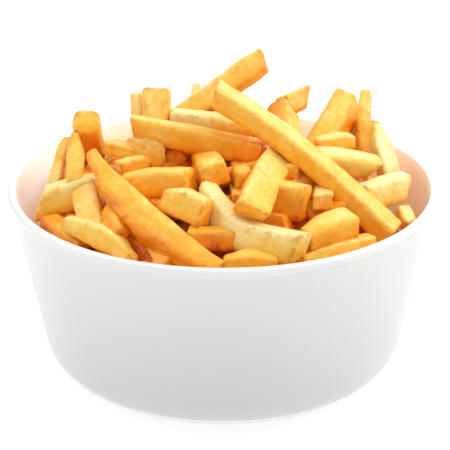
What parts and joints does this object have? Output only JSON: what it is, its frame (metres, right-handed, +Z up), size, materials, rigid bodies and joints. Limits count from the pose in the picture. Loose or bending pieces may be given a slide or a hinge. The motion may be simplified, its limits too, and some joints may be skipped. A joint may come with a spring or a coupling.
{
  "type": "french fries portion",
  "caption": "Round white ceramic bowl with a tapered wall, heaped above its rim with thick-cut french fries.",
  "frame": {"origin": "the middle of the bowl's foot, on the surface that it stands on, which is the bottom centre of the whole", "axes": "+Z straight up out of the bowl, which is the portion's shortest extent; -Y is the side that faces the viewer; +X is that viewer's right"},
  "size_m": [0.17, 0.17, 0.1279],
  "materials": {
    "bowl_glaze": "gloss",
    "fries": "satin"
  },
  "bodies": {
    "root": {"bowl": "bowl_glaze", "fries": "fries"}
  },
  "joints": []
}
